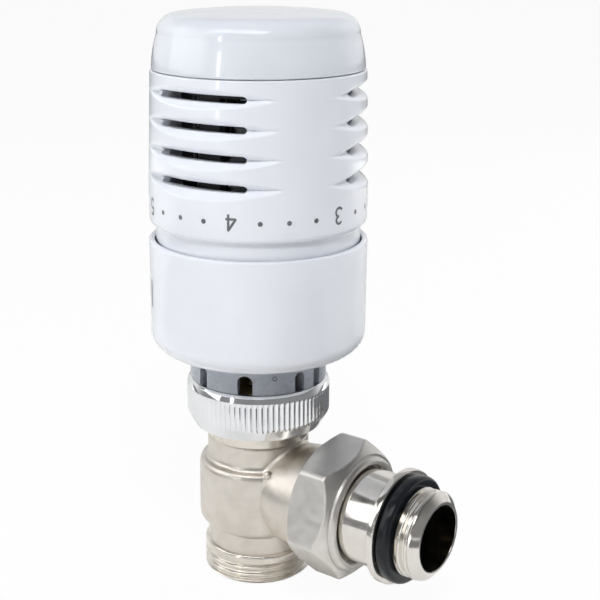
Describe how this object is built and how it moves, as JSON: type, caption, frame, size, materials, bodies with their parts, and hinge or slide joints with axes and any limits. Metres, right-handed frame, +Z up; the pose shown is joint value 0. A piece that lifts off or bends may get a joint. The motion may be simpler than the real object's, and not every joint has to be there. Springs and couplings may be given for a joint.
{
  "type": "thermostatic radiator valve",
  "caption": "Angle thermostatic radiator valve with a numbered white head, knurled coupling nut, nickel body and a union tailpiece with O-ring.",
  "frame": {"origin": "centre of the supply thread's end face", "axes": "+Z up the valve spindle towards the head's cap, +X out along the union towards the radiator"},
  "size_m": [0.0777, 0.0514, 0.1375],
  "materials": {
    "nickel": "satin nickel plate on forged brass",
    "polished_nickel": "polished nickel plate on turned brass",
    "chrome": "bright chrome plate",
    "white_plastic": "glossy moulded plastic",
    "white_inner": "moulded plastic, inside the head",
    "grey_plastic": "satin grey moulded plastic",
    "brass": "turned brass",
    "steel": "stainless steel",
    "rubber": "black rubber, glossy"
  },
  "bodies": {
    "valve": {"valve_body": "nickel", "bonnet": "nickel", "bonnet_oring": "rubber", "gland_nut": "brass", "stem_oring": "rubber", "return_spring": "steel"},
    "valve_stem": {"valve_pin": "steel", "disc_holder": "brass", "disc_seal": "rubber"},
    "head": {"collet": "grey_plastic", "base_collar": "white_plastic", "thread_sleeve": "white_inner"},
    "coupling_nut": {"coupling_nut": "chrome"},
    "sensor_carriage": {"sensor_cage": "white_inner", "sensor_cartridge": "steel", "spring_cup": "steel", "overtravel_spring": "steel", "push_rod": "brass"},
    "handle": {"handle": "white_plastic", "top_cap": "white_plastic", "retaining_ring": "steel"},
    "union_slider": {"union_seal": "rubber"},
    "tailpiece": {"tailpiece": "polished_nickel", "tailpiece_oring": "rubber"},
    "union_nut": {"union_nut": "polished_nickel"}
  },
  "joints": [
    {"name": "head_lift", "type": "slide", "parent": "valve", "child": "head", "axis": [0, 0, 1], "range_m": [0, 0.0075]},
    {"name": "nut_turn", "type": "hinge", "parent": "head", "child": "coupling_nut", "pos_m": [0, 0, 0.0445], "axis": [0, 0, 1], "range_deg": [0, 1800]},
    {"name": "sensor_lift", "type": "slide", "parent": "head", "child": "sensor_carriage", "axis": [0, 0, 1], "range_m": [-0.0035, 0]},
    {"name": "handle_turn", "type": "hinge", "parent": "sensor_carriage", "child": "handle", "pos_m": [0, 0, 0.106], "axis": [0, 0, 1], "range_deg": [-300, 0]},
    {"name": "valve_stroke", "type": "slide", "parent": "valve", "child": "valve_stem", "axis": [0, 0, 1], "range_m": [-0.0035, 0], "deforming": ["return_spring"]},
    {"name": "union_slide", "type": "slide", "parent": "valve", "child": "union_slider", "axis": [1, 0, 0], "range_m": [0, 0.00907]},
    {"name": "tail_swivel", "type": "hinge", "parent": "union_slider", "child": "tailpiece", "pos_m": [0.036, 0, 0.0225], "axis": [1, 0, 0], "continuous": true},
    {"name": "union_nut_turn", "type": "hinge", "parent": "union_slider", "child": "union_nut", "pos_m": [0.0265, 0, 0.0225], "axis": [1, 0, 0], "range_deg": [0, 1800]}
  ],
  "couplings": [
    {"joint": "nut_turn", "follows": "head_lift", "rad_per_m": 4188.8},
    {"joint": "handle_turn", "follows": "sensor_lift", "rad_per_m": 1496},
    {"joint": "valve_stroke", "follows": "sensor_lift", "ratio": 1},
    {"joint": "union_nut_turn", "follows": "union_slide", "rad_per_m": 3463.7}
  ]
}
